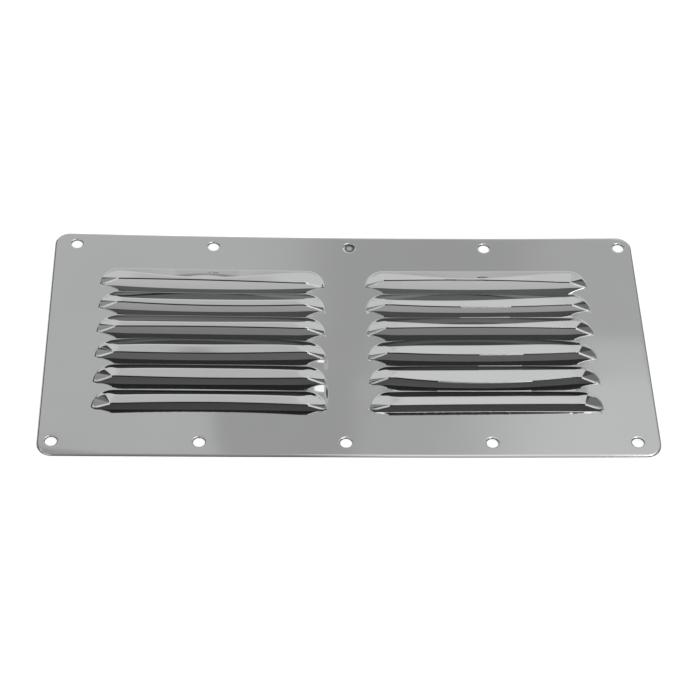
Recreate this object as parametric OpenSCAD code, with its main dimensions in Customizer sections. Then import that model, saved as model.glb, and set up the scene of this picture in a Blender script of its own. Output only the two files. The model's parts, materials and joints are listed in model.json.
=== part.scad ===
// Louvred vent plate, pressed from one piece of bright stainless sheet.
// It lies on its back: the back face is at z = 0, the front and its hoods face +Z,
// +X runs along the long side and +Y runs from the mouths of the louvres to their backs.
// The origin is the middle of the back face.

/* [Plate] */
// Length of the plate's long side
plate_w = 260; // [240:1:320]
// Length of the plate's short side
plate_h = 125; // [115:1:160]
// Thickness of the sheet
sheet_t = 0.8; // [0.6:0.05:1.1]
// Radius of the plate's corners
corner_r = 6.5; // [3:0.5:8]
// Radius of the smoothed edge round the front
edge_r = 0.4; // [0.2:0.05:0.5]

/* [Screw holes] */
// Diameter of a screw hole
hole_d = 5; // [3:0.25:6]
// Radius of the smoothed edge at a hole's mouth
hole_edge_r = 0.3; // [0.15:0.05:0.45]
// Screw holes in each row
holes_per_row = 5; // [2:1:6]
// From a row's end hole to the plate's short side, before the row's shift
hole_side_inset = 7.8; // [6:0.1:12]
// From a row to the plate's long side, before the rows' rise
hole_row_inset = 6.8; // [5.5:0.1:8]
// How far both rows are pushed up from where the plate's height would centre them
hole_row_rise = 0.5; // [-0.5:0.1:0.5]
// How far the upper row is pushed to the right, and the lower row to the left
hole_row_shift = 1.9; // [0:0.1:2.2]

/* [Louvre field] */
// Columns of louvres
louvre_cols = 2; // [1:1:2]
// Louvres in each column
louvre_rows = 6; // [1:1:6]
// Distance from slit to slit down a column
louvre_pitch = 13.95; // [12:0.05:14.5]
// Flat strip left between the tips of two columns
column_gap = 17.6; // [10:0.1:24]
// How far the middle of the slits lies below the middle of the plate
field_drop = 2.6; // [0:0.1:3]
// How far the field lies left of the middle of the plate
field_shift = 0.5; // [-1:0.1:1]

/* [Louvre] */
// Length of a slit from tip to tip
louvre_len = 99.6; // [60:0.2:100]
// How far the lip stands above the front face
lip_rise = 3.75; // [2.5:0.05:4.5]
// Depth of the hood, from the slit to the foot at its back
hood_depth = 9.8; // [8.5:0.1:10.5]
// Steepest angle of the hood, where it drops to its foot
flank_angle = 44; // [36:1:55]
// Radius of the knee between the hood's roof and its flank
knee_r = 4; // [2.5:0.25:5]
// Radius of the hollow at the hood's foot
foot_r = 1.5; // [1:0.25:2]
// Width of the slit in front of the lip
slit_w = 0.6; // [0.3:0.05:1]
// Length over which the slit narrows to each tip
slit_taper = 4; // [2:0.5:8]

/* [Hidden] */
steel = [0.76, 0.77, 0.78];
// facets of a full turn, and steps of the small arcs in the sections
$fn = 96;
arc_steps = 5;
// how far a cut runs past a face, and how far a hood's flat rim overlaps the plate
past = 1;
rim_lap = 0.6;

// height of the lip above the back face
lip_z = sheet_t + lip_rise;
// straight part of a lip, between the centres of its two round ends
lip_len = louvre_len - 2 * hood_depth;
column_pitch = louvre_len + column_gap;
// spacing of the screw holes along a row, and from row to row
hole_pitch = (plate_w - 2 * hole_side_inset) / (holes_per_row - 1);
hole_row_gap = plate_h - 2 * hole_row_inset;

// A straight roof meets the knee, and the knee runs into the hollow of the foot. The roof's slope
// is the one at which the three meet without a corner.
slope_a = (knee_r + foot_r) * cos(flank_angle) + lip_rise - foot_r;
slope_b = hood_depth - (knee_r + foot_r) * sin(flank_angle);
roof_slope = acos(knee_r / norm([slope_a, slope_b])) - atan2(slope_b, slope_a);

// centres of the two arcs, as distance behind the slit and height above the back face
foot_c = [hood_depth, sheet_t + foot_r];
knee_c = foot_c - (knee_r + foot_r) * [sin(flank_angle), cos(flank_angle)];

// points of an arc about c, by the angle from straight up
function arc(c, r, from, to, steps = arc_steps) =
    [for (i = [0 : steps]) let (a = from + (to - from) * i / steps) c + r * [sin(a), cos(a)]];

// Section of a hood: the sheet from the lip over the roof, the knee and the foot to the flat plate
module hood_section() {
    outer = concat(
        [[0, lip_z]],
        arc(knee_c, knee_r, roof_slope, flank_angle),
        arc(foot_c, -foot_r, flank_angle, 0),
        [[hood_depth + rim_lap, sheet_t]]
    );
    inner = concat(
        [[hood_depth + rim_lap, 0]],
        arc(foot_c, -foot_r - sheet_t, 0, flank_angle),
        arc(knee_c, knee_r - sheet_t, flank_angle, roof_slope),
        [[0, lip_z - sheet_t / cos(roof_slope)]]
    );
    polygon(concat(outer, inner));
}

// Sweeps a section along a lip and a quarter turn round each end of it
module along_lip() {
    translate([-lip_len / 2, 0, 0])
        rotate([90, 0, 90]) linear_extrude(lip_len) children();
    translate([lip_len / 2, 0, 0])
        rotate_extrude(angle = 90) children();
    translate([-lip_len / 2, 0, 0])
        rotate([0, 0, 90]) rotate_extrude(angle = 90) children();
}

module hood() {
    along_lip() hood_section();
}

// What a louvre takes out of the flat sheet: the ground that the hood was raised from, and the slit
module louvre_cut() {
    along_lip()
        translate([0, -past]) square([hood_depth, sheet_t + 2 * past]);
    translate([0, 0, -past])
        linear_extrude(sheet_t + 2 * past)
            polygon([
                [-louvre_len / 2, 0],
                [-louvre_len / 2 + slit_taper, -slit_w],
                [louvre_len / 2 - slit_taper, -slit_w],
                [louvre_len / 2, 0]
            ]);
}

module each_louvre() {
    for (col = [0 : louvre_cols - 1], row = [0 : louvre_rows - 1])
        translate([
            (col - (louvre_cols - 1) / 2) * column_pitch - field_shift,
            ((louvre_rows - 1) / 2 - row) * louvre_pitch - field_drop,
            0
        ]) children();
}

// Section of the flat sheet from the middle to one edge, smoothed at the front
module edge_section(half_w) {
    polygon(concat(
        [[0, 0], [half_w, 0]],
        arc([half_w - edge_r, sheet_t - edge_r], edge_r, 90, 0),
        [[0, sheet_t]]
    ));
}

module strip(half_w, len) {
    for (side = [0, 1])
        mirror([side, 0, 0])
            translate([0, len / 2, 0])
                rotate([90, 0, 0]) linear_extrude(len) edge_section(half_w);
}

// The flat sheet: two crossing strips and four round corners, all with the same edge
module flat_sheet() {
    strip(plate_w / 2, plate_h - 2 * corner_r);
    rotate([0, 0, 90]) strip(plate_h / 2, plate_w - 2 * corner_r);
    for (sx = [0, 1], sy = [0, 1])
        mirror([sx, 0, 0]) mirror([0, sy, 0])
            translate([plate_w / 2 - corner_r, plate_h / 2 - corner_r, 0])
                rotate_extrude(angle = 90) edge_section(corner_r);
}

// A punched hole with a smoothed mouth at the front
module screw_hole() {
    r = hole_d / 2;
    rotate_extrude()
        polygon(concat(
            [[0, -past], [r, -past]],
            arc([r + hole_edge_r, sheet_t - hole_edge_r], hole_edge_r, -90, 0),
            [[r + hole_edge_r, sheet_t + past], [0, sheet_t + past]]
        ));
}

module each_screw_hole() {
    for (side = [-1, 1], i = [0 : holes_per_row - 1])
        translate([
            (i - (holes_per_row - 1) / 2) * hole_pitch + side * hole_row_shift,
            side * hole_row_gap / 2 + hole_row_rise,
            0
        ]) children();
}

module louvre_plate() {
    color(steel) {
        difference() {
            flat_sheet();
            each_louvre() louvre_cut();
            each_screw_hole() screw_hole();
        }
        each_louvre() hood();
    }
}

louvre_plate();
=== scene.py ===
import json
import math

import bmesh
import bpy
from mathutils import Euler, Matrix, Vector, kdtree, noise
from mathutils.geometry import delaunay_2d_cdt


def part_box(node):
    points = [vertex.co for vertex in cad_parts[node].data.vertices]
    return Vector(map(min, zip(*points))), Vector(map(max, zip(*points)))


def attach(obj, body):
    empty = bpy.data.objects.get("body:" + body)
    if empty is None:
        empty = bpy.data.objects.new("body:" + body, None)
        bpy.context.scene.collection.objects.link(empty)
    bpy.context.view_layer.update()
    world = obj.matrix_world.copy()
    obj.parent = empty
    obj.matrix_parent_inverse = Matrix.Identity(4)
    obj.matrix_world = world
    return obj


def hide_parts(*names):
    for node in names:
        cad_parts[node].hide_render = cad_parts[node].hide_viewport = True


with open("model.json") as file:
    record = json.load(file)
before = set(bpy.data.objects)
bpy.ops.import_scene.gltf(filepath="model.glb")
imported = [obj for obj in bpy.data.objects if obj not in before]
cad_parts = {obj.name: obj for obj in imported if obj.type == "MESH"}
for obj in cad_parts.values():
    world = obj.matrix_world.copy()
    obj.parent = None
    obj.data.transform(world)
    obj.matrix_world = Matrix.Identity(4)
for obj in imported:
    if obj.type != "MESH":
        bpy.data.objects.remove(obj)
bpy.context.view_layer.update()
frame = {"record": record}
print("frame loaded")

mm = 0.001


# small helpers for node trees

def addNode(tree, kind, inputs=None, **settings):
    node = tree.nodes.new(kind)
    for name, value in settings.items():
        setattr(node, name, value)
    for name, value in (inputs or {}).items():
        node.inputs[name].default_value = value
    return node


def join(tree, source, target):
    tree.links.new(source, target)


# a value is a number, or another node's output
def plug(tree, value, socket):
    if isinstance(value, (int, float)):
        socket.default_value = value
    else:
        join(tree, value, socket)


def maths(tree, operation, *values):
    node = addNode(tree, "ShaderNodeMath", operation=operation)
    for socket, value in zip(node.inputs, values):
        plug(tree, value, socket)
    return node.outputs[0]


# a smooth step where the source goes from low to high
def slide(tree, source, low, high, first=0.0, last=1.0):
    node = addNode(tree, "ShaderNodeMapRange", {"From Min": low, "From Max": high},
                   interpolation_type="SMOOTHSTEP")
    plug(tree, first, node.inputs["To Min"])
    plug(tree, last, node.inputs["To Max"])
    join(tree, source, node.inputs["Value"])
    return node.outputs["Result"]


# goes from one value to another as the mask goes from 0 to 1
def blend(tree, mask, under, over):
    node = addNode(tree, "ShaderNodeMix", data_type="FLOAT")
    for value, name in ((mask, "Factor"), (under, "A"), (over, "B")):
        plug(tree, value, node.inputs[name])
    return node.outputs["Result"]


# the sheet and what is pressed into it, in millimetres

plateLow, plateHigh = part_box("louvre_plate")
mounts = {m["name"]: m for m in frame["record"]["mounts"]}

sheetForm = {
    "width": (plateHigh.x - plateLow.x) / mm,
    "height": (plateHigh.y - plateLow.y) / mm,
    "thickness": 0.8,
    "cornerRadius": 6.5,
    "edgeReach": 0.8,        # smoothed edge round the front, how far in and how far down
    "edgeDrop": 0.4,
    "holeReach": 0.5,        # smoothed mouth of a screw hole
    "holeDrop": 0.3,
    "rollSteps": 5,
    "meshStep": 2.6,         # spacing of points over the flat sheet
    "rowStep": 0.866,        # from row to row of them, as a share of that
    "keepOff": 1.0,          # they stay this far from edges
    "holeRing": 0.3,         # the flat stays even this far round the mouth of a hole
    "burrBevel": 0.09,       # broken edge on everything that was sheared
    "brokenAngle": 50,       # where the sheet turns by more than this, in degrees
    "brokenFrom": 0.8,       # but not this near to a louvre's tip
    "brokenRun": 2.0,        # and full only this far beyond
}

louvreForm = {
    "columns": 2,
    "rows": 6,
    "pitch": 13.95,
    "length": 99.6,
    "columnGap": 17.6,
    "fieldDrop": 2.6,
    "fieldShift": 0.5,
    "depth": 9.8,
    "kneeRadius": 4,
    "footRadius": 1.5,
    "endDepth": 8.4,         # how far a hood reaches past the end of its lip
    "endFlank": 27,          # slope there, nearly even from lip to foot, in degrees
    "endFoot": 2.8,          # the hollow of the foot is wider there
    "steepFlank": 35,        # over a flank with this slope
    "roofAtSteep": 8,        # the roof has this one
    "flatFlank": 27,
    "roofAtFlat": 3,
    "slitTaper": 2.2,
    "cutSlant": 0.25,        # how far the sheared edge of a hood's end leans back
    "slitRoll": 0.18,        # smoothing of the sheared edge in front of a lip
    "creaseOff": 0.4,        # the sheet is bent along a line this far outside a hood's foot
    "turnRadius": 5,         # where the way round a hood's end is measured
    "roofTurn": (-5, 5),     # the roof takes the end's slope over this stretch of it, from the lip's end on
    "flankTurn": (0, 4),     # and the flank over this one
    "footTurn": (1, 6),
    "roofSteps": 9,
    "kneeSteps": 9,
    "flankSteps": 4,
    "footSteps": 9,
    "endSteps": 22,
    "lipStep": 2.5,
}

# No two louvres came out of the press alike. Each line is a louvre, left column then right one, with what it
# has at the left, the middle and the right of its lip: height of the lip, how far the lip leans forward, how
# far the slit is open, slope of the flank. Then come how much further back the foot lies, and the height of
# the burr along the sheet's edge in front of the slit.
pressing = [
    [((4.0, 4.1, 3.4), (-0.3, 0.0, 0.2), (0.95, 1.7, 0.95), (34, 26, 38), 0.0, 0.02),
     ((4.3, 4.5, 4.1), (-0.75, -0.8, 0.0), (0.45, 0.95, 0.3), (36, 27, 42), 0.0, 0.02)],
    [((3.8, 3.3, 3.7), (-0.3, 0.25, 0.0), (0.6, 1.1, 0.4), (28, 26.5, 29), -0.2, 0.02),
     ((3.9, 3.4, 3.3), (-0.2, 0.2, -0.7), (0.2, 0.6, -0.1), (28.5, 27, 33), 0.4, 0.02)],
    [((3.9, 4.0, 4.0), (-0.6, -0.85, -0.45), (0.15, 0.2, 0.2), (28.5, 28.5, 32), 0.3, 0.03),
     ((4.2, 4.4, 3.9), (-0.8, -1.0, -0.9), (-0.3, -0.4, -0.45), (32, 27, 34), 0.4, 0.05)],
    [((3.8, 3.6, 3.9), (0.15, 0.0, -0.6), (0.83, 1.0, 0.25), (30, 28, 31.5), 1.4, 0.05),
     ((3.9, 3.7, 3.7), (-0.35, 0.15, -0.6), (0.4, 0.9, 0.1), (30, 28.5, 32), 1.8, 0.06)],
    [((3.5, 3.1, 3.7), (-0.6, -0.5, -0.3), (0.7, 0.55, 0.35), (33, 33, 34.5), 0.4, 0.03),
     ((3.3, 2.8, 3.3), (-0.45, 1.1, -0.65), (0.8, 2.0, 0.2), (31.5, 32, 34), 0.5, 0.05)],
    [((3.5, 3.5, 3.6), (-0.1, -0.8, 0.0), (0.89, 0.65, 0.89), (32, 32.5, 33), 0.2, 0.06),
     ((3.6, 3.7, 3.6), (0.3, -0.1, -0.3), (1.3, 0.95, 1.0), (31.5, 31.5, 32.5), 0.3, 0.16)],
]

# the left and the right values stand this far from the middle of a lip, as a share of its half
sampleAt = 0.8
# and past this share the values stay as they are
heldFrom = 0.92

# stretches of a lip whose sheared edge carries a painted highlight in the near-white steel, by row and
# column, as shares of its half
paintedLipGlints = {(1, 1): (-0.14, 0.36), (3, 1): (0.0, 0.45), (4, 1): (-0.47, 0.5)}

# hollows beside the right tips of the left column, where the sheet was pulled along: the sharp edge where one
# ends, how far it runs to the left of that, its lowest line, how far it reaches up and down from there, and
# its depth
dents = [
    {"edge": -10.0, "run": 9.5, "middle": -27.9, "up": 4.2, "down": 7.0, "depth": 0.30},
    {"edge": -10.0, "run": 7.5, "middle": -11.6, "up": 2.2, "down": 4.5, "depth": 0.16},
]
dentLip = 1.0                # the sheet is level again this far past such an edge
dentMesh = 2.5               # and is meshed more finely up to here
dentKeepOff = 0.35           # those finer points stay this far from edges

# how the finished sheet lies, in millimetres
sheetWarp = {
    "lift": 1.12,            # keeps the lowest strip off the ground
    "middleTop": -0.5,       # along the long sides, at their middles
    "middleBottom": -0.2,
    "leftTop": 1.5,          # what the corners stand above those middles
    "leftBottom": 0.35,
    "rightTop": 1.25,
    "rightBottom": 0.7,
    "reach": 120,            # where the corners are measured
    "fieldDip": 0.3,         # the louvre field lies lower still
    "stripLand": 0.12,       # the strips between louvres lie flat this far from the foot behind them
    "stripSlope": 6.5,       # and then fall towards the slit above them, in degrees
    "stripEnds": (3, -5),    # the fall fades out over this stretch, from a lip's end on
    "stripPast": 0.8,        # and reaches this far past the line of that slit
    "stripMesh": (0.9, 1.7),     # lines of points this far behind the foot
    "burrWidth": 0.5,        # a burr runs up this far before a slit
    "burrInside": 0.25,      # and stays up this far into it
    "wave": 0.05,            # faint unevenness of the flat
    "waveLength": 38,
    "waveSquash": 1.6,       # shorter across the plate
    "wavePick": 3.7,         # which waves
}


# angles are from straight up, in degrees
def arcPoints(centre, radius, start, end, steps):
    angles = [math.radians(start + (end - start) * i / steps) for i in range(steps + 1)]
    return [(centre[0] + radius * math.sin(a), centre[1] + radius * math.cos(a)) for a in angles]


def linePoints(start, end, steps):
    return [(start[0] + (end[0] - start[0]) * i / steps, start[1] + (end[1] - start[1]) * i / steps)
            for i in range(steps + 1)]


# slope of a roof whose knee runs straight into the foot, with no even flank between them
def evenRoof(rise, flankDeg, depth, foot):
    form = louvreForm
    flank, both = math.radians(flankDeg), form["kneeRadius"] + foot
    up = both * math.cos(flank) + rise - foot
    back = depth - both * math.sin(flank)
    return math.degrees(math.acos(form["kneeRadius"] / math.hypot(up, back)) - math.atan2(back, up))


# outer and inner line of a hood from lip to foot, as distance behind the slit and height
def hoodSection(rise, flankDeg, roofDeg, depth, foot):
    form, thick, knee = louvreForm, sheetForm["thickness"], louvreForm["kneeRadius"]
    flank, roof = math.radians(flankDeg), math.radians(roofDeg)
    up = rise - foot * (1 - math.cos(flank)) - knee * (math.cos(roof) - math.cos(flank))
    back = depth - foot * math.sin(flank) - knee * (math.sin(flank) - math.sin(roof))
    flankLong = max(0.0, (up * math.cos(roof) - back * math.sin(roof)) / math.sin(flank - roof))

    footCentre = (depth, thick + foot)
    footTop = (footCentre[0] - foot * math.sin(flank), footCentre[1] - foot * math.cos(flank))
    kneeFoot = (footTop[0] - flankLong * math.cos(flank), footTop[1] + flankLong * math.sin(flank))
    kneeCentre = (kneeFoot[0] - knee * math.sin(flank), kneeFoot[1] - knee * math.cos(flank))
    lip = thick + rise

    def side(drop, lipHeight):
        kneeArc = arcPoints(kneeCentre, knee - drop, roofDeg, flankDeg, form["kneeSteps"])
        footArc = arcPoints(footCentre, -foot - drop, flankDeg, 0, form["footSteps"])
        roofLine = linePoints((0, lipHeight), kneeArc[0], form["roofSteps"])
        flankLine = linePoints(kneeArc[-1], footArc[0], form["flankSteps"])
        return roofLine[:-1] + kneeArc + flankLine[1:-1] + footArc

    return side(0, lip), side(thick, lip - thick / math.cos(roof))


# where the three steels stand in the piece's list of materials: polished steel, sheared steel painted near
# black as shade, and near-white steel painted as highlight
steelSlots = {"polished": 0, "sheared": 1, "burnished": 2}


# gathers the sheet's faces, in millimetres until the mesh is finished
class SheetMesh:
    def __init__(self):
        self.bm = bmesh.new()

    def strip(self, lines, closed, steel="polished"):
        rows = [[self.bm.verts.new(p) for p in line] for line in lines]
        made = []
        for a, b in zip(rows, rows[1:]):
            count = len(a)
            for i in range(count if closed else count - 1):
                k = (i + 1) % count
                face = self.bm.faces.new((a[i], a[k], b[k], b[i]))
                face.material_index = steelSlots[steel]
                made.append(face)
        return made

    # the flat of the sheet at one height, inside its outline and outside its openings
    def flat(self, height, outline, openings, creases):
        loops = [outline] + openings
        tree = kdtree.KDTree(sum(len(line) for line in loops + creases))
        points, faces, edges = [], [], []
        for line in loops + creases:
            first = len(points)
            for p in line:
                tree.insert((p[0], p[1], 0), len(points))
                points.append(Vector((p[0], p[1])))
            if line in creases:
                edges += [(i, i + 1) for i in range(first, len(points) - 1)]
            else:
                faces.append(list(range(first, len(points))))
        tree.balance()
        step = sheetForm["meshStep"]
        halfW, halfH = sheetForm["width"] / 2, sheetForm["height"] / 2
        rowsUp = int(halfH / (step * sheetForm["rowStep"]))
        columns = int(halfW / step) + 1
        for row in range(-rowsUp, rowsUp + 1):
            for column in range(-columns, columns + 1):
                x, y = (column + 0.5 * (row % 2)) * step, row * step * sheetForm["rowStep"]
                if abs(x) > halfW or abs(y) > halfH or any(nearDent(dent, x, y) for dent in dents):
                    continue
                if tree.find((x, y, 0))[2] > sheetForm["keepOff"]:
                    points.append(Vector((x, y)))
        for dent in dents:
            for x, y in dentPoints(dent):
                if tree.find((x, y, 0))[2] > dentKeepOff:
                    points.append(Vector((x, y)))
        verts, _, tris, _, _, inside = delaunay_2d_cdt(points, edges, faces, 1, 1e-6)
        made = [self.bm.verts.new((v.x, v.y, height)) for v in verts]
        for tri, owners in zip(tris, inside):
            if list(owners) == [0]:
                self.bm.faces.new([made[i] for i in tri])


def nearDent(dent, x, y):
    beside = dent["edge"] - dent["run"] < x < dent["edge"] + dentMesh
    return beside and -dent["down"] < y - dent["middle"] < dent["up"]


def dentPoints(dent):
    columns = [dent["edge"] - dent["run"] * i / 12 for i in range(12)]
    columns += [dent["edge"] + i * 0.4 for i in range(1, 6)]
    rows = [dent["middle"] + dent["up"] * i / 7 for i in range(7)]
    rows += [dent["middle"] - dent["down"] * i / 9 for i in range(1, 9)]
    return [(x, y) for x in columns for y in rows]


# the plate's outline, moved in by inset
def plateLoop(inset, height):
    halfW, halfH = sheetForm["width"] / 2, sheetForm["height"] / 2
    radius = sheetForm["cornerRadius"]
    loop = []
    for turn, (sx, sy) in enumerate([(1, 1), (-1, 1), (-1, -1), (1, -1)]):
        centre, reach = (sx * (halfW - radius), sy * (halfH - radius)), radius - inset
        for i in range(17):
            a = math.radians(90 * turn + 90 * i / 16)
            loop.append((centre[0] + reach * math.cos(a), centre[1] + reach * math.sin(a), height))
    out = []
    for p, q in zip(loop, loop[1:] + loop[:1]):
        length = math.hypot(q[0] - p[0], q[1] - p[1])
        pieces = max(1, round(length / sheetForm["meshStep"]))
        out += [(p[0] + (q[0] - p[0]) * i / pieces, p[1] + (q[1] - p[1]) * i / pieces, height)
                for i in range(pieces)]
    return out


def holeLoop(centre, radius, height, steps=40):
    angles = [2 * math.pi * i / steps for i in range(steps)]
    return [(centre[0] + radius * math.cos(a), centre[1] + radius * math.sin(a), height) for a in angles]


# down a smoothed edge from the flat front to the back, as how far in and how high
def rolled(reach, drop, thick, steps):
    arc = [(reach * (1 - math.sin(a)), thick - drop * (1 - math.cos(a)))
           for a in (math.radians(90 * i / steps) for i in range(steps + 1))]
    return arc + [(0, 0)]


# the screw holes, from the mounts that the record states
def holeCentres():
    centres = []
    for mount in mounts.values():
        if mount["kind"] not in ("bolt_pattern", "bore"):
            continue
        x, y = mount["pos_m"][0] / mm, mount["pos_m"][1] / mm
        half = mount["dims"].get("spacing_x_mm", 0) / 2
        centres += [((x + side * half, y), mount["dims"].get("hole_r_mm") or mount["dims"]["r_mm"])
                    for side in ((-1, 1) if half else (0,))]
    return centres


def louvrePlaces():
    form = louvreForm
    columnPitch = form["length"] + form["columnGap"]
    for column in range(form["columns"]):
        for row in range(form["rows"]):
            x = (column - (form["columns"] - 1) / 2) * columnPitch - form["fieldShift"]
            y = ((form["rows"] - 1) / 2 - row) * form["pitch"] - form["fieldDrop"]
            yield x, y, row, column


# along a hood from its right tip to its left: x of the turning centre, direction, place along the lip, and
# how far that is past the lip's end
def hoodStations():
    form = louvreForm
    half = form["length"] / 2 - form["endDepth"]
    straight = round(2 * half / form["lipStep"])
    turns = [90 * i / form["endSteps"] for i in range(form["endSteps"] + 1)]
    past = [math.radians(90 - turn) * form["turnRadius"] for turn in turns]
    stations = [(half, math.radians(turn), 1, p) for turn, p in zip(turns, past)]
    for i in range(1, straight):
        share = 1 - 2 * i / straight
        along = (share + math.sin(math.pi / 2 * share)) / 2
        stations.append((half * along, math.pi / 2, along, half * (abs(along) - 1)))
    stations += [(-half, math.radians(180 - turn), -1, p) for turn, p in zip(reversed(turns), reversed(past))]
    return stations


# along a slit from its left tip to its right: x and share of the full opening
def slitPoints():
    form = louvreForm
    half, taper = form["length"] / 2, form["slitTaper"]
    steps = round((2 * half - 2 * taper) / form["lipStep"])
    left = [(-half + taper * i / 6, i / 6) for i in range(6)]
    middle = [(-half + taper + (2 * half - 2 * taper) * i / steps, 1) for i in range(steps + 1)]
    return left + middle + [(-x, share) for x, share in reversed(left)]


# 1 at the middle of a lip and 0 at its ends
def middling(along):
    return max(0.0, 1 - along * along)


# a smooth run through what a louvre has at the left, the middle and the right of its lip
def across(values, along):
    along = max(-heldFrom, min(heldFrom, along))
    left, middle, right = values
    slope = (right - left) / (2 * sampleAt)
    curve = ((left + right) / 2 - middle) / sampleAt ** 2
    return middle + slope * along + curve * along * along


def ease(value, start, end):
    share = max(0.0, min(1.0, (value - start) / (end - start)))
    return share * share * (3 - 2 * share)


def footDepth(extra, along):
    return louvreForm["depth"] + extra * (1 - min(1.0, abs(along)) ** 4)


# one hood with its lip, and the sheared edge of the sheet in front of it
def addLouvre(sheet, x, y, lipGlintStretch, rises, leans, gaps, flanks, footBack):
    form = louvreForm
    reach = form["endDepth"] / form["depth"]
    outerLines, innerLines, places = [], [], []
    for base, turn, along, past in hoodStations():
        depth, rise = footDepth(footBack, along), across(rises, along)
        lean, flank = across(leans, along), across(flanks, along)
        steeper = (flank - form["flatFlank"]) / (form["steepFlank"] - form["flatFlank"])
        roof = form["roofAtFlat"] + (form["roofAtSteep"] - form["roofAtFlat"]) * steeper
        flank += (form["endFlank"] - flank) * ease(past, *form["flankTurn"])
        foot = form["footRadius"] + (form["endFoot"] - form["footRadius"]) * ease(past, *form["footTurn"])
        roof += (evenRoof(rise, flank, depth, foot) - roof) * ease(past, *form["roofTurn"])
        places.append(along)
        outer, inner = hoodSection(rise, flank, roof, depth, foot)
        slant = form["cutSlant"] if abs(math.sin(turn)) < 1e-6 else 0
        for lines, profile, forward in ((outerLines, outer, 0), (innerLines, inner, slant)):
            lines.append([(x + base + r * reach * math.cos(turn),
                           y + r * math.sin(turn) - lean * (1 - r / depth)
                           - forward * min(1.0, (depth - r) / 2),
                           z) for r, z in profile])
    sheet.strip(outerLines, False)
    sheet.strip(innerLines, False)
    # the cut faces at a hood's two ends get the near-white steel: painted highlight lines at the tips
    for end in (0, -1):
        sheet.strip([outerLines[end], innerLines[end]], False, "burnished")
    # the lip's cut face gets the near-black sheared steel: a painted shadow line under the lip
    lip = sheet.strip([[line[0] for line in outerLines], [line[0] for line in innerLines]], False, "sheared")
    # listed stretches of the lip's cut face get the near-white steel instead: a painted glint
    for face, along in zip(lip, places):
        if lipGlintStretch[0] < along < lipGlintStretch[1]:
            face.material_index = steelSlots["burnished"]

    thick, half = sheetForm["thickness"], form["length"] / 2
    lipHalf = half - form["endDepth"]
    roll = form["slitRoll"]
    edge = []
    for inset, height in rolled(1, 1, thick, 3):
        line = []
        for px, share in slitPoints():
            drop = (thick - height) * roll * share if height > 0 else thick
            gap = across(gaps, px / lipHalf)
            line.append((x + px, y - share * (gap + inset * roll), thick - drop))
        edge.append(line)
    # the sheared edge before the slit gets the near-black steel: a painted shadow line along the slit
    sheet.strip(edge, False, "sheared")
    footFront = [line[-1] for line in outerLines]
    footBehind = [line[-1] for line in innerLines]
    return footFront + edge[0][1:-1], footBehind + edge[-1][1:-1]


# where the back foot of a louvre runs, for places along its lip
def footLine(x, y, row, column):
    form = louvreForm
    half = form["length"] / 2 - form["endDepth"]
    count = round(2 * half / form["lipStep"])
    return [(x + half * (1 - 2 * i / count), y + footDepth(pressing[row][column][4], 1 - 2 * i / count))
            for i in range(count + 1)]


# height that the pressed sheet gains at a place
def warpAt(x, y):
    warp = sheetWarp
    up = (y + sheetForm["height"] / 2) / sheetForm["height"]
    side = "left" if x < 0 else "right"
    middle = warp["middleBottom"] + (warp["middleTop"] - warp["middleBottom"]) * up
    ends = warp[side + "Bottom"] + (warp[side + "Top"] - warp[side + "Bottom"]) * up
    height = warp["lift"] + middle + ends * (x / warp["reach"]) ** 2
    height -= warp["fieldDip"] * middling(2 * y / sheetForm["height"]) * middling(2 * x / sheetForm["width"])
    for dent in dents:
        if nearDent(dent, x, y):
            into = ease(x, dent["edge"] - dent["run"], dent["edge"])
            if x >= dent["edge"]:
                into = 1 - ease(x, dent["edge"], dent["edge"] + dentLip)
            off = y - dent["middle"]
            fade = 1 - off / dent["up"] if off > 0 else middling(off / dent["down"]) ** 2
            height -= dent["depth"] * into * fade
    place = Vector((x / warp["waveLength"], y / warp["waveLength"] * warp["waveSquash"], warp["wavePick"]))
    return height + warp["wave"] * noise.noise(place)


# how far a strip between two louvres has dropped at a place
def stripDipAt(x, y):
    form, warp = louvreForm, sheetWarp
    lipHalf = form["length"] / 2 - form["endDepth"]
    for px, py, row, column in louvrePlaces():
        away = abs(x - px)
        if row == 0 or away > form["length"] / 2:
            continue
        foot = footDepth(pressing[row][column][4], min(1.0, away / lipHalf))
        if away > lipHalf:
            foot = form["depth"] * math.sqrt(max(0.0, 1 - ((away - lipHalf) / form["endDepth"]) ** 2))
        past = y - (py + foot)
        if past < 0 or y > py + form["pitch"] + warp["stripPast"]:
            continue
        fade = 1 - ease(away - lipHalf, warp["stripEnds"][1], warp["stripEnds"][0])
        return max(0.0, past - warp["stripLand"]) * math.tan(math.radians(warp["stripSlope"])) * fade
    return 0.0


# how far the burr in front of a slit stands up at a place
def burrAt(x, y):
    form, width, inside = louvreForm, sheetWarp["burrWidth"], sheetWarp["burrInside"]
    half = form["length"] / 2
    for px, py, row, column in louvrePlaces():
        away = abs(x - px)
        if away < half:
            gap = across(pressing[row][column][2], (x - px) / (half - form["endDepth"]))
            before = py - gap * min(1.0, (half - away) / form["slitTaper"]) - y
            if -inside < before < width:
                fade = min(1.0, (half - away) / form["endDepth"])
                return pressing[row][column][5] * fade * (1 - max(0.0, before) / width)
    return 0.0


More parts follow.
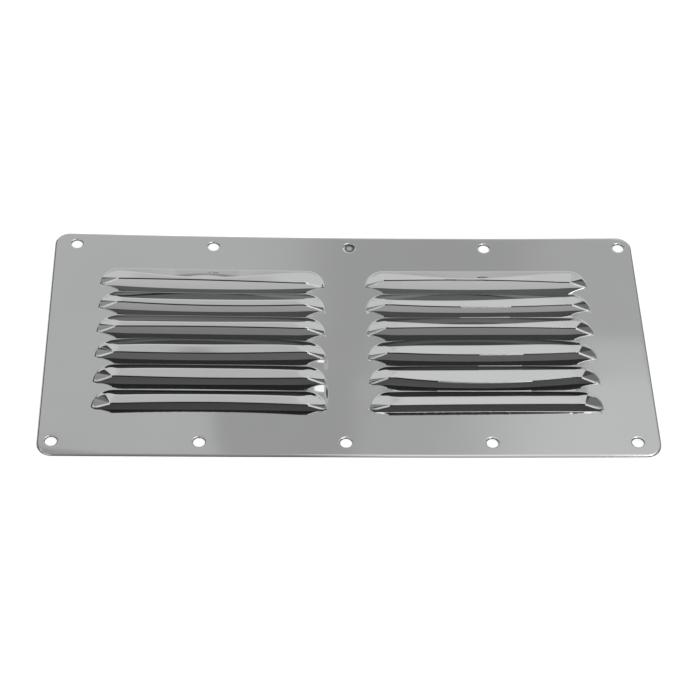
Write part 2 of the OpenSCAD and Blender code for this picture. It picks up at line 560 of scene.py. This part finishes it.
# the lines along which the flat is bent or has to stay even: behind a hood's foot, round its ends, and before
# its slit
def creaseLines(x, y, row, column):
    form, warp = louvreForm, sheetWarp
    half = form["length"] / 2
    lipHalf = half - form["endDepth"]
    back, off = footLine(x, y, row, column), form["creaseOff"]
    reach, depth = form["endDepth"] + off, form["depth"] + off
    around = []
    for side in (1, -1):
        turns = [math.radians(6 * i) for i in range(1, 15)]
        arc = [(x + side * (lipHalf + reach * math.cos(a)), y + depth * math.sin(a)) for a in turns]
        around.append(arc if side == 1 else arc[::-1])
    lines = [around[0] + [(px, py + off) for px, py in back] + around[1]]
    for past in (warp["stripLand"], *warp["stripMesh"]) if row > 0 else ():
        lines.append([(px, py + past) for px, py in back])
    gaps = pressing[row][column][2]
    run = half - form["slitTaper"] - 1
    before = []
    for i in range(-30, 31):
        px = run * i / 30
        before.append((x + px, y - across(gaps, px / lipHalf) - warp["burrWidth"]))
    lines.append(before)
    return lines


def buildSheet():
    sheet = SheetMesh()
    thick = sheetForm["thickness"]
    frontOpenings, backOpenings, creases = [], [], []

    rim = rolled(sheetForm["edgeReach"], sheetForm["edgeDrop"], thick, sheetForm["rollSteps"])
    sheet.strip([plateLoop(inset, z) for inset, z in rim[:-1]], True)
    # the back of the plate's rolled edge gets the near-black steel: a painted dark outline of shade
    sheet.strip([plateLoop(inset, z) for inset, z in rim[-2:]], True, "sheared")

    for centre, radius in holeCentres():
        mouth = rolled(sheetForm["holeReach"], sheetForm["holeDrop"], thick, 5)
        loops = [holeLoop(centre, radius + inset, z) for inset, z in mouth]
        sheet.strip(loops[:-1], True)
        # the hole's wall gets the near-black steel: a painted shade round the hole
        sheet.strip(loops[-2:], True, "sheared")
        frontOpenings.append(loops[0])
        backOpenings.append(loops[-1])
        ring = holeLoop(centre, radius + sheetForm["holeReach"] + sheetForm["holeRing"], 0)
        creases.append(ring[:-1])

    for x, y, row, column in louvrePlaces():
        lipGlintStretch = paintedLipGlints.get((row, column), (0, 0))
        front, back = addLouvre(sheet, x, y, lipGlintStretch, *pressing[row][column][:5])
        frontOpenings.append(front)
        backOpenings.append(back)
        creases += creaseLines(x, y, row, column)

    sheet.flat(thick, plateLoop(rim[0][0], thick), frontOpenings, creases)
    sheet.flat(0, plateLoop(0, 0), backOpenings, creases)

    bm = sheet.bm
    bmesh.ops.remove_doubles(bm, verts=bm.verts, dist=1e-4)
    bmesh.ops.recalc_face_normals(bm, faces=bm.faces)
    bm.normal_update()
    loose = [e for e in bm.edges if len(e.link_faces) != 2]
    print("sheet:", len(bm.verts), "points,", len(bm.faces), "faces,", len(loose), "open edges")

    weight = bm.edges.layers.float.new("bevel_weight_edge")
    tips = [(x + side * louvreForm["length"] / 2, y) for x, y, _, _ in louvrePlaces() for side in (-1, 1)]
    tree = kdtree.KDTree(len(tips))
    for i, tip in enumerate(tips):
        tree.insert((tip[0], tip[1], 0), i)
    tree.balance()
    for edge in bm.edges:
        middle = (edge.verts[0].co + edge.verts[1].co) / 2
        upward = any(face.normal.z > 0.3 for face in edge.link_faces)
        if not upward or middle.z < 0.01 or len(edge.link_faces) != 2:
            continue
        if edge.calc_face_angle() > math.radians(sheetForm["brokenAngle"]):
            away = tree.find((middle.x, middle.y, 0))[2]
            edge[weight] = min(1.0, max(0.0, (away - sheetForm["brokenFrom"]) / sheetForm["brokenRun"]))

    for face in bm.faces:
        face.smooth = True
    for vert in bm.verts:
        if vert.co.z < sheetForm["thickness"] + 0.01:
            vert.co.z += burrAt(vert.co.x, vert.co.y) - stripDipAt(vert.co.x, vert.co.y)
        vert.co.z += warpAt(vert.co.x, vert.co.y)
    bmesh.ops.scale(bm, vec=(mm, mm, mm), verts=bm.verts)
    mesh = bpy.data.meshes.new("pressedSheet")
    bm.to_mesh(mesh)
    bm.free()
    mesh.set_sharp_from_angle(angle=math.radians(40))
    return mesh


pressedSheet = bpy.data.objects.new("pressedSheet", buildSheet())
bpy.context.scene.collection.objects.link(pressedSheet)
breakEdges = pressedSheet.modifiers.new("brokenEdges", "BEVEL")
breakEdges.limit_method = "WEIGHT"
breakEdges.width = sheetForm["burrBevel"] * mm
breakEdges.segments = 2
breakEdges.use_clamp_overlap = False
breakEdges.material = steelSlots["polished"]
evenShade = pressedSheet.modifiers.new("evenShade", "WEIGHTED_NORMAL")
evenShade.keep_sharp = True
evenShade.weight = 80
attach(pressedSheet, "root")
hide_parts("louvre_plate")
print("sheet built")


# steel

# faint lines and clouds of rolled and polished sheet; spacing and size are in millimetres
def makeRollingGrain():
    group = bpy.data.node_groups.new("rollingGrain", "ShaderNodeTree")
    for name, kind, value in (("Vector", "NodeSocketVector", None), ("Line spacing", "NodeSocketFloat", 0.4),
                              ("Cloud size", "NodeSocketFloat", 30.0), ("Amount", "NodeSocketFloat", 1.0)):
        socket = group.interface.new_socket(name, in_out="INPUT", socket_type=kind)
        if value is not None:
            socket.default_value = value
    for name in ("Lines", "Clouds", "Height"):
        group.interface.new_socket(name, in_out="OUTPUT", socket_type="NodeSocketFloat")
    into = addNode(group, "NodeGroupInput")
    out = addNode(group, "NodeGroupOutput")
    perLine = addNode(group, "ShaderNodeMath", {0: 1000.0}, operation="DIVIDE")
    join(group, into.outputs["Line spacing"], perLine.inputs[1])
    stretch = addNode(group, "ShaderNodeVectorMath", {1: (0.02, 1.0, 0.3)}, operation="MULTIPLY")
    join(group, into.outputs["Vector"], stretch.inputs[0])
    lines = addNode(group, "ShaderNodeTexNoise", {"Detail": 3.0, "Roughness": 0.6})
    join(group, stretch.outputs[0], lines.inputs["Vector"])
    join(group, perLine.outputs[0], lines.inputs["Scale"])
    perCloud = addNode(group, "ShaderNodeMath", {0: 1000.0}, operation="DIVIDE")
    join(group, into.outputs["Cloud size"], perCloud.inputs[1])
    clouds = addNode(group, "ShaderNodeTexNoise", {"Detail": 2.0, "Roughness": 0.5})
    join(group, into.outputs["Vector"], clouds.inputs["Vector"])
    join(group, perCloud.outputs[0], clouds.inputs["Scale"])
    both = addNode(group, "ShaderNodeMath", {1: 0.25}, operation="MULTIPLY_ADD")
    join(group, lines.outputs["Fac"], both.inputs[0])
    join(group, clouds.outputs["Fac"], both.inputs[2])
    height = addNode(group, "ShaderNodeMath", operation="MULTIPLY")
    join(group, both.outputs[0], height.inputs[0])
    join(group, into.outputs["Amount"], height.inputs[1])
    join(group, lines.outputs["Fac"], out.inputs["Lines"])
    join(group, clouds.outputs["Fac"], out.inputs["Clouds"])
    join(group, height.outputs[0], out.inputs["Height"])
    return group


rollingGrain = makeRollingGrain()


def makeSteel(look):
    material = bpy.data.materials.new(look["name"])
    material.use_nodes = True
    tree = material.node_tree
    shader = tree.nodes["Principled BSDF"]
    shader.inputs["Metallic"].default_value = 1.0
    place = addNode(tree, "ShaderNodeTexCoord")
    grain = addNode(tree, "ShaderNodeGroup", node_tree=rollingGrain)
    grain.inputs["Line spacing"].default_value = look["lineSpacing"]
    grain.inputs["Cloud size"].default_value = look["cloudSize"]
    join(tree, place.outputs["Object"], grain.inputs["Vector"])
    tint = addNode(tree, "ShaderNodeMix", data_type="RGBA")
    tint.inputs["A"].default_value = look["darkTint"]
    tint.inputs["B"].default_value = look["lightTint"]
    join(tree, grain.outputs["Clouds"], tint.inputs["Factor"])
    join(tree, tint.outputs["Result"], shader.inputs["Base Color"])
    rough = addNode(tree, "ShaderNodeMapRange")
    rough.inputs["To Min"].default_value = look["roughness"][0]
    rough.inputs["To Max"].default_value = look["roughness"][1]
    join(tree, grain.outputs["Lines"], rough.inputs["Value"])
    join(tree, rough.outputs["Result"], shader.inputs["Roughness"])
    bump = addNode(tree, "ShaderNodeBump", {"Strength": look["bump"], "Distance": look["bumpDepth"]})
    join(tree, grain.outputs["Height"], bump.inputs["Height"])
    join(tree, bump.outputs["Normal"], shader.inputs["Normal"])
    return material


polishedFace = {
    "name": "polishedSteel",
    "lightTint": (0.64, 0.645, 0.65, 1),
    "darkTint": (0.60, 0.605, 0.61, 1),
    "roughness": (0.03, 0.07),
    "lineSpacing": 0.6,
    "cloudSize": 40.0,
    "bump": 0.25,
    "bumpDepth": 0.00002,
}
# painted shade: the sheared faces get a near-black steel, far darker than cut steel, so that they draw dark
# shadow lines under lips, along slits and round the edges
shearedEdgePaintedShade = {
    "name": "shearedSteelPaintedShade",
    "lightTint": (0.09, 0.09, 0.092, 1),
    "darkTint": (0.03, 0.03, 0.032, 1),
    "roughness": (0.18, 0.34),
    "lineSpacing": 0.25,
    "cloudSize": 3.0,
    "bump": 0.4,
    "bumpDepth": 0.00003,
}
# painted highlight: near-white steel, brighter than any steel, for the white glint lines on the hoods' end
# faces and on listed stretches of lip
paintedGlintEdge = {
    "name": "paintedGlintSteel",
    "lightTint": (0.95, 0.95, 0.95, 1),
    "darkTint": (0.80, 0.80, 0.81, 1),
    "roughness": (0.3, 0.42),
    "lineSpacing": 0.25,
    "cloudSize": 3.0,
    "bump": 0.2,
    "bumpDepth": 0.00002,
}
for look in (polishedFace, shearedEdgePaintedShade, paintedGlintEdge):
    pressedSheet.data.materials.append(makeSteel(look))
print("steel made")


# floor, card, world and lamp

studio = {
    "floorSize": 4.0,
    "floorDrop": 0.00005,
    "floorColour": (0.45, 0.45, 0.45, 1),
    "floorGlow": 0.85,
    "shadeColour": (0.1, 0.1, 0.1, 1),
    "shadeHalf": 0.111,      # the ground under the louvres, hidden by the sheet, painted dim as shade
    "shadeLow": -0.042,
    "shadeHigh": 0.047,
    "shadeGlow": (0.03, 0.05, 0.09, 0.17, 0.30, 0.46),    # through the rows' slits, from the lowest row up: painted shade, darker towards the lower rows
    "shadeMirrored": 0.5,    # the share of it that the sheet mirrors
    "farFrom": 0.1,          # the floor from here to the card
    "farMirrored": 0.45,
    "spot": (0.0021, 0.0571),    # a dark spot on the ground under the middle hole of the upper row
    "spotRadius": 0.0023,
    "spotGlow": (0.30, 0.06),    # its middle and its rim
    "spotRim": (0.35, 0.75),     # where the one turns into the other, as shares of its radius
}


def makeFloor():
    bpy.ops.mesh.primitive_plane_add(size=studio["floorSize"], location=(0, 0, -studio["floorDrop"]))
    floor = bpy.context.object
    floor.name = "studioFloor"
    material = bpy.data.materials.new("paleFloor")
    material.use_nodes = True
    tree = material.node_tree
    shader = tree.nodes["Principled BSDF"]
    shader.inputs["Roughness"].default_value = 0.9
    shader.inputs["Specular IOR Level"].default_value = 0.0
    rays = addNode(tree, "ShaderNodeLightPath")
    place = addNode(tree, "ShaderNodeTexCoord")
    split = addNode(tree, "ShaderNodeSeparateXYZ")
    join(tree, place.outputs["Object"], split.inputs[0])
    x, y = split.outputs["X"], split.outputs["Y"]
    mirrors = rays.outputs["Is Glossy Ray"]
    seen = maths(tree, "MAXIMUM", rays.outputs["Is Camera Ray"], rays.outputs["Is Transmission Ray"])

    side = maths(tree, "LESS_THAN", maths(tree, "ABSOLUTE", x), studio["shadeHalf"])
    above = maths(tree, "GREATER_THAN", y, studio["shadeLow"])
    below = maths(tree, "LESS_THAN", y, studio["shadeHigh"])
    shade = maths(tree, "MULTIPLY", side, maths(tree, "MULTIPLY", above, below))
    # painted shade: under the louvres the ground's glow drops row by row downwards, standing in for the
    # shadow beneath the plate
    up = addNode(tree, "ShaderNodeMapRange",
                 {"From Min": studio["shadeLow"], "From Max": studio["shadeHigh"]})
    join(tree, y, up.inputs["Value"])
    glows = studio["shadeGlow"]
    ramp = addNode(tree, "ShaderNodeValToRGB")
    while len(ramp.color_ramp.elements) < len(glows):
        ramp.color_ramp.elements.new(0.5)
    for i, glow in enumerate(glows):
        ramp.color_ramp.elements[i].position = (i + 0.5) / len(glows)
        ramp.color_ramp.elements[i].color = (glow, glow, glow, 1)
    join(tree, up.outputs["Result"], ramp.inputs["Fac"])
    shown = maths(tree, "MAXIMUM", seen, maths(tree, "MULTIPLY", mirrors, studio["shadeMirrored"]))
    dim = maths(tree, "MULTIPLY", ramp.outputs["Color"], shown)

    far = maths(tree, "MULTIPLY", maths(tree, "GREATER_THAN", y, studio["farFrom"]), studio["farMirrored"])
    bright = maths(tree, "MAXIMUM", maths(tree, "MULTIPLY", seen, studio["floorGlow"]),
                   maths(tree, "MULTIPLY", far, mirrors))

    offX = maths(tree, "SUBTRACT", x, studio["spot"][0])
    offY = maths(tree, "SUBTRACT", y, studio["spot"][1])
    squares = maths(tree, "ADD", maths(tree, "MULTIPLY", offX, offX), maths(tree, "MULTIPLY", offY, offY))
    share = maths(tree, "DIVIDE", maths(tree, "SQRT", squares), studio["spotRadius"])
    spot = maths(tree, "LESS_THAN", share, 1.0)
    spotGlow = maths(tree, "MULTIPLY", slide(tree, share, *studio["spotRim"], *studio["spotGlow"]), seen)

    ground = blend(tree, spot, blend(tree, shade, bright, dim), spotGlow)
    shader.inputs["Emission Color"].default_value = (1, 1, 1, 1)
    join(tree, ground, shader.inputs["Emission Strength"])
    colour = addNode(tree, "ShaderNodeMix", data_type="RGBA")
    colour.inputs["A"].default_value = studio["floorColour"]
    colour.inputs["B"].default_value = studio["shadeColour"]
    join(tree, maths(tree, "MAXIMUM", shade, spot), colour.inputs["Factor"])
    join(tree, colour.outputs["Result"], shader.inputs["Base Color"])
    floor.data.materials.append(material)


# the white card behind the plate, with the dark posts that hold it
card = {
    "place": 0.62,
    "left": -0.497,          # where its left side stands on the floor
    "leftLean": 0.244,       # how far that side leans inwards, as a share of the height
    "bend": 0.31,            # and it leans further from this height on
    "bendLean": 0.64,
    "right": 0.449,
    "leftPost": 0.12,        # widths of the posts
    "rightPost": 0.056,
    "top": 0.576,
    "soft": 0.003,           # blur of an upright edge, to each side
    "lowBand": 0.085,        # the card is duller up to here
    "lowBandSoft": 0.004,
    "lowLevel": 0.70,
    "level": 0.82,
    "topFrom": (0.31, 0.43),     # heights over which the middle turns into the upper part
    "topTurn": (-0.02, 0.07),    # where the upper part goes from its left level to its right one
    "topLeft": 0.69,
    "topRight": 0.87,
    "postLevel": 0.09,
    "leftPostTurn": (-0.068, -0.014),    # from the card's left side, where that post gets darker inwards
    "leftPostLevels": (0.42, 0.05),
}


def makeCard():
    leftFoot, rightSide = card["left"] - card["leftPost"], card["right"] + card["rightPost"]
    leftBend = leftFoot + card["leftLean"] * card["bend"]
    leftTop = leftBend + card["bendLean"] * (card["top"] - card["bend"])
    corners = [(leftFoot, 0, 0), (rightSide, 0, 0), (rightSide, 0, card["top"]), (leftTop, 0, card["top"]),
               (leftBend, 0, card["bend"])]
    mesh = bpy.data.meshes.new("whiteCard")
    mesh.from_pydata(corners, [], [(0, 1, 2, 3, 4)])
    panel = bpy.data.objects.new("whiteCard", mesh)
    bpy.context.scene.collection.objects.link(panel)
    panel.location.y = card["place"]
    material = bpy.data.materials.new("litCard")
    material.use_nodes = True
    tree = material.node_tree
    tree.nodes.remove(tree.nodes["Principled BSDF"])
    place = addNode(tree, "ShaderNodeTexCoord")
    split = addNode(tree, "ShaderNodeSeparateXYZ")
    join(tree, place.outputs["Object"], split.inputs[0])

    along, up = split.outputs["X"], split.outputs["Z"]
    left, right, soft, band = card["left"], card["right"], card["soft"], card["lowBand"]

    # along the card, with the lean of its left side taken out
    beyond = maths(tree, "MAXIMUM", maths(tree, "SUBTRACT", up, card["bend"]), 0.0)
    unbent = maths(tree, "MULTIPLY_ADD", beyond, card["leftLean"] - card["bendLean"], along)
    upright = maths(tree, "MULTIPLY_ADD", up, -card["leftLean"], unbent)

    top = blend(tree, slide(tree, along, *card["topTurn"]), card["topLeft"], card["topRight"])
    lower = slide(tree, up, band - card["lowBandSoft"], band + card["lowBandSoft"])
    level = blend(tree, lower, card["lowLevel"], card["level"])
    level = blend(tree, slide(tree, up, *card["topFrom"]), level, top)
    level = blend(tree, slide(tree, along, right - soft, right + soft), level, card["postLevel"])
    dark = slide(tree, upright, *(left + away for away in card["leftPostTurn"]))
    post = blend(tree, dark, *card["leftPostLevels"])
    level = blend(tree, slide(tree, upright, left - soft, left + soft), post, level)
    glow = addNode(tree, "ShaderNodeEmission")
    join(tree, level, glow.inputs["Strength"])
    rays = addNode(tree, "ShaderNodeLightPath")
    clear = addNode(tree, "ShaderNodeBsdfTransparent")
    pick = addNode(tree, "ShaderNodeMixShader")
    join(tree, rays.outputs["Is Camera Ray"], pick.inputs[0])
    join(tree, glow.outputs[0], pick.inputs[1])
    join(tree, clear.outputs[0], pick.inputs[2])
    join(tree, pick.outputs[0], tree.nodes["Material Output"].inputs["Surface"])
    mesh.materials.append(material)


# how bright the things round the plate are, as they show in the steel
surroundings = {
    "ceiling": (0.34, 1.3),  # left and right of the plate's middle
    "ceilingBack": 0.38,     # and nearer to the camera
    "room": 1.15,            # behind the camera
    "cameraShade": 0.28,     # and round it
    "sides": 0.12,           # dark to the left and the right
    "sidesLow": 0.40,        # but not low down
    "wallLeft": 0.12,        # beside the wall over the card
    "wallBeyond": 0.5,
    "leftGap": 0.38,         # beside the card's posts
    "leftWindow": 1.1,
    "rightGap": 0.23,
    "rightRoom": 0.45,
    "wall": 0.64,            # over the card, what the flat of the plate shows
    "beam": 0.49,            # a dark upright on it
    "beamRight": 0.57,
    "wallRight": 0.78,
    "highLeft": 0.60,        # over the wall
    "highRight": 1.45,       # a bright window there
}

# where they are. A turn is in degrees from +Y towards +X, a rise in degrees above the ground, and an aside is
# the part of a direction that points along +X.
worldPlaces = {
    "ceilingRise": (56, 66),
    "ceilingBackFrom": (-0.02, 0.08),
    "ceilingAside": (0.02, 0.07),
    "cameraShadeFrom": (-0.17, -0.13),
    "cameraShadeTo": (0.02, 0.07),
    "sidesLowRise": (24, 31),
    "sidesRise": (45, 60),
    "postsRise": (40, 44),
    "besideRise": (30, 58),
    "besideSoft": 4,
    "wallTurn": (-17, 25),
    "wallRise": (42.5, 53.5),
    "wallSoft": (3, 1.5),
    "wallHalves": (48.7, 50.1),
    "highTurn": (-34, 34),
    "highRise": (53.8, 66),
    "highSoft": (4, 1.5),
    "highMiddle": (1, 4),
}

# what lies beside the wall and the card: its name above, the turns it lies between, how soft those edges are
besidePlaces = [
    ("sides", -125, -52, 8),
    ("sides", 60, 125, 8),
    ("wallBeyond", 0, 60, 4),
    ("leftWindow", -62, -44, 3),
    ("leftGap", -44, 0, 3),
    ("wallLeft", -56, 0, 4),
    ("rightRoom", 45, 61, 5),
    ("rightGap", 0, 45, 4),
]

# along the wall: turns between which one level goes over into the next. Its lower part shows in the far half
# of the plate, its upper part in the near half.
lowerWall = ["wall", (0.6, 3.6), "beam", (8.2, 10.6), "beamRight"]
upperWall = ["wall", (-1.9, -1.2), "beam", (4.0, 4.5), "beamRight", (6.5, 12.5), "wallRight"]


def makeWorld():
    world = bpy.data.worlds.new("studioWorld")
    bpy.context.scene.world = world
    world.use_nodes = True
    tree = world.node_tree
    background = tree.nodes["Background"]
    place = addNode(tree, "ShaderNodeTexCoord")
    split = addNode(tree, "ShaderNodeSeparateXYZ")
    join(tree, place.outputs["Generated"], split.inputs[0])
    aside, ahead = split.outputs["X"], split.outputs["Y"]
    rise = maths(tree, "ARCSINE", split.outputs["Z"])
    turn = maths(tree, "ARCTAN2", aside, ahead)

    # smooth step between two angles in degrees
    def angled(source, low, high, first=0.0, last=1.0):
        return slide(tree, source, math.radians(low), math.radians(high), first, last)

    def between(source, low, high, soft):
        return maths(tree, "MULTIPLY", angled(source, low - soft / 2, low + soft / 2),
                     angled(source, high - soft / 2, high + soft / 2, 1.0, 0.0))

    def paint(level, mask, otherMask, over):
        return blend(tree, maths(tree, "MULTIPLY", mask, otherMask), level, over)

    # a patch of the world between two turns and two rises, each with its own softness
    def patch(level, name, over):
        softTurn, softRise = worldPlaces[name + "Soft"]
        return paint(level, between(turn, *worldPlaces[name + "Turn"], softTurn),
                     between(rise, *worldPlaces[name + "Rise"], softRise), over)

    def alongWall(steps):
        level = surroundings[steps[0]]
        for turns, name in zip(steps[1::2], steps[2::2]):
            level = blend(tree, angled(turn, *turns), level, surroundings[name])
        return level

    tones = dict(surroundings)
    tones["sides"] = angled(rise, *worldPlaces["sidesLowRise"], tones["sidesLow"], tones["sides"])
    ceiling = slide(tree, aside, *worldPlaces["ceilingAside"], *tones["ceiling"])
    ceiling = blend(tree, slide(tree, ahead, *worldPlaces["ceilingBackFrom"]), tones["ceilingBack"], ceiling)
    room = paint(tones["room"], slide(tree, aside, *worldPlaces["cameraShadeFrom"]),
                 slide(tree, aside, *worldPlaces["cameraShadeTo"], 1.0, 0.0), tones["cameraShade"])
    level = blend(tree, angled(rise, *worldPlaces["ceilingRise"]), room, ceiling)

    sidesBand = angled(rise, *worldPlaces["sidesRise"], 1.0, 0.0)
    postsBand = angled(rise, *worldPlaces["postsRise"], 1.0, 0.0)
    besideBand = between(rise, *worldPlaces["besideRise"], worldPlaces["besideSoft"])
    bands = {"sides": sidesBand, "wallBeyond": besideBand, "wallLeft": besideBand}
    for name, low, high, soft in besidePlaces:
        level = paint(level, between(turn, low, high, soft), bands.get(name, postsBand), tones[name])

    wall = blend(tree, angled(rise, *worldPlaces["wallHalves"]), alongWall(lowerWall), alongWall(upperWall))
    level = patch(level, "wall", wall)
    high = blend(tree, angled(turn, *worldPlaces["highMiddle"]), tones["highLeft"], tones["highRight"])
    level = patch(level, "high", high)
    rays = addNode(tree, "ShaderNodeLightPath")
    level = blend(tree, rays.outputs["Is Camera Ray"], level, 1.0)
    join(tree, level, background.inputs["Strength"])
    background.inputs["Color"].default_value = (1, 1, 1, 1)


def addLamp(name, size, power, place, aim):
    data = bpy.data.lights.new(name, "AREA")
    data.shape = "RECTANGLE"
    data.size, data.size_y = size
    data.energy = power
    lamp = bpy.data.objects.new(name, data)
    bpy.context.scene.collection.objects.link(lamp)
    lamp.location = place
    lamp.rotation_euler = (Vector(aim) - Vector(place)).to_track_quat("-Z", "Y").to_euler()


topLamp = {
    "size": (0.6, 0.12),
    "power": 1.6,
    "place": (0.42, -0.15, 1.05),
    "aim": (0, 0, 0),
}

makeFloor()
makeCard()
makeWorld()
addLamp("topLamp", **topLamp)
print("studio made")


# camera, at the photograph's angle to the plate

camera = {
    "lens": 103.35,
    "sensor": 36.0,
    "place": (-0.03698, -0.56807, 0.66188),
    "tilt": (40.492, -2.108, -1.378),
}
cameraData = bpy.data.cameras.new("photoCamera")
cameraData.lens = camera["lens"]
cameraData.sensor_width = camera["sensor"]
cameraData.clip_start = 0.01
photoCamera = bpy.data.objects.new("photoCamera", cameraData)
bpy.context.scene.collection.objects.link(photoCamera)
photoCamera.location = camera["place"]
photoCamera.rotation_euler = Euler([math.radians(a) for a in camera["tilt"]], "XYZ")
bpy.context.scene.camera = photoCamera
bpy.context.scene.view_settings.view_transform = "Standard"
print("camera set")
